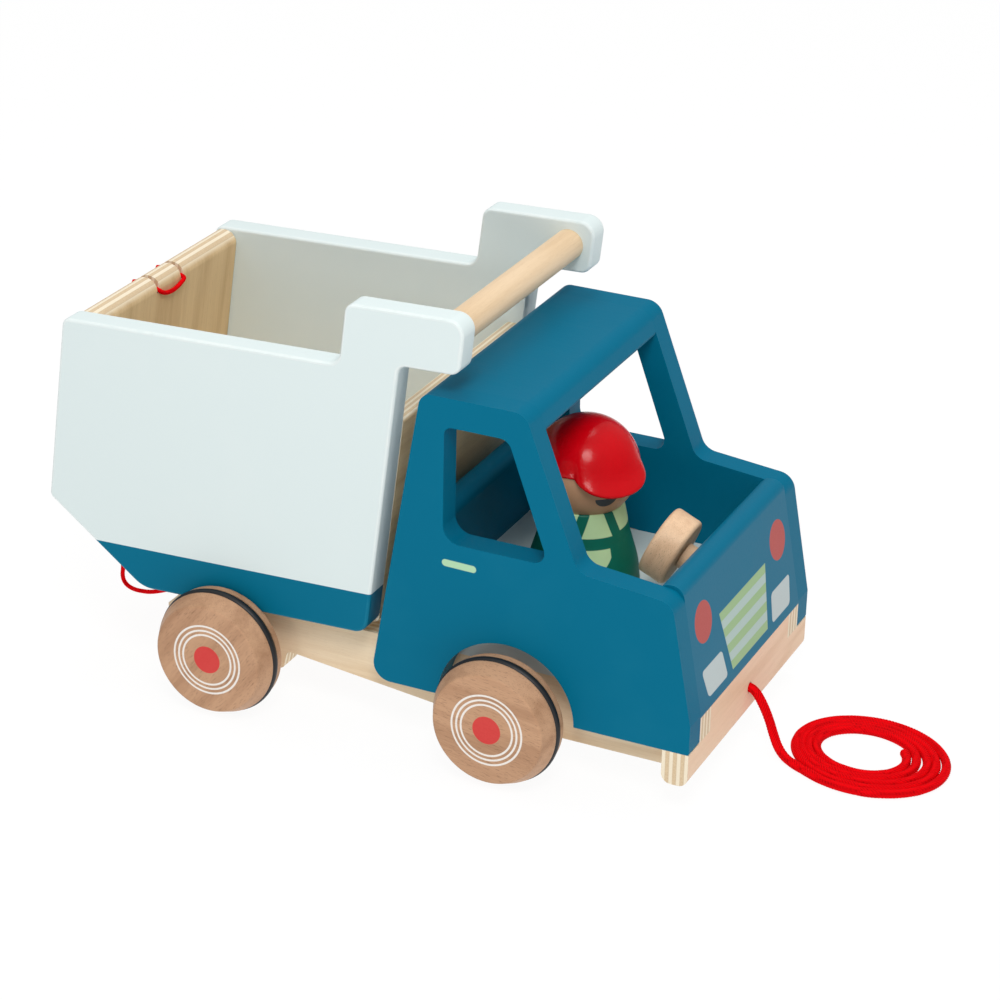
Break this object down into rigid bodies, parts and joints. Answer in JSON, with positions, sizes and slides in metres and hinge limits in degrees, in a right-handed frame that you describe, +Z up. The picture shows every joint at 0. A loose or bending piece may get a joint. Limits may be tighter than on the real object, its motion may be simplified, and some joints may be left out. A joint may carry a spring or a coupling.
{
  "type": "toy dump truck",
  "caption": "Wooden pull-along dump truck with a tipping bed, swinging tailgate, open cab with a peg driver and a red pull cord.",
  "frame": {"origin": "on the ground under the middle of the truck, between the outermost front and rear faces", "axes": "+X towards the front bumper, +Y to the truck's left, +Z up"},
  "size_m": [0.4013, 0.1784, 0.2041],
  "materials": {
    "plywood": "satin, bare birch plywood",
    "blue_paint": "satin paint",
    "pale_paint": "satin paint",
    "floor_paint": "satin paint",
    "beech": "satin, bare beech",
    "light_wood": "satin, bare wood",
    "steel": "satin",
    "rubber": "matte",
    "red_cord": "braided",
    "overalls_paint": "satin paint",
    "skin_paint": "satin paint",
    "cap_gloss": "glossy paint"
  },
  "bodies": {
    "chassis": {"left_rail": "plywood", "right_rail": "plywood", "front_bumper_board": "plywood", "rear_cross_board": "plywood", "bed_rest_board": "plywood", "bed_pivot_rod": "steel", "cab_floor": "floor_paint", "left_cab_side": "blue_paint", "right_cab_side": "blue_paint", "roof": "blue_paint", "cab_back_wall": "blue_paint", "front_panel": "blue_paint", "steering_column": "beech", "tailgate_cord_tails": "red_cord", "pull_cord": "red_cord", "pull_cord_coil": "red_cord", "pull_cord_knot": "red_cord"},
    "steering": {"steering_wheel": "beech"},
    "front_wheels": {"front_axle": "steel", "front_axle_spacers": "beech", "front_left_wheel": "beech", "front_right_wheel": "beech", "front_left_tyre": "rubber", "front_right_tyre": "rubber"},
    "rear_wheels": {"rear_axle": "steel", "rear_axle_spacers": "beech", "rear_left_wheel": "beech", "rear_right_wheel": "beech", "rear_left_tyre": "rubber", "rear_right_tyre": "rubber"},
    "bed": {"left_bed_side": "pale_paint", "right_bed_side": "pale_paint", "bed_floor": "plywood", "bed_tail_ramp": "plywood", "bed_front_wall": "plywood", "handle_dowel": "light_wood", "bed_hinge_blocks": "beech", "tailgate_pins": "steel"},
    "gate": {"tailgate": "plywood", "tailgate_cord": "red_cord"},
    "driver": {"driver_body": "overalls_paint", "driver_head": "skin_paint", "driver_cap": "cap_gloss", "cap_visor": "cap_gloss"}
  },
  "joints": [
    {"name": "steering_spin", "type": "hinge", "parent": "chassis", "child": "steering", "pos_m": [0.1149, 0, 0.0874], "axis": [0.9135, 0, -0.4067], "continuous": true},
    {"name": "front_axle_spin", "type": "hinge", "parent": "chassis", "child": "front_wheels", "pos_m": [0.0705, 0, 0.0295], "axis": [0, 1, 0], "continuous": true},
    {"name": "rear_axle_spin", "type": "hinge", "parent": "chassis", "child": "rear_wheels", "pos_m": [-0.0654, 0, 0.0295], "axis": [0, 1, 0], "continuous": true},
    {"name": "bed_tip", "type": "hinge", "parent": "chassis", "child": "bed", "pos_m": [-0.092, 0, 0.035], "axis": [0, -1, 0], "range_deg": [0, 45], "deforming": ["tailgate_cord_tails"]},
    {"name": "tailgate_swing", "type": "hinge", "parent": "bed", "child": "gate", "pos_m": [-0.14835, 0, 0.08971], "axis": [0, -1, 0], "range_deg": [0, 60]},
    {"name": "driver_lift", "type": "slide", "parent": "chassis", "child": "driver", "axis": [0, 0, 1], "range_m": [0, 0.015]}
  ]
}
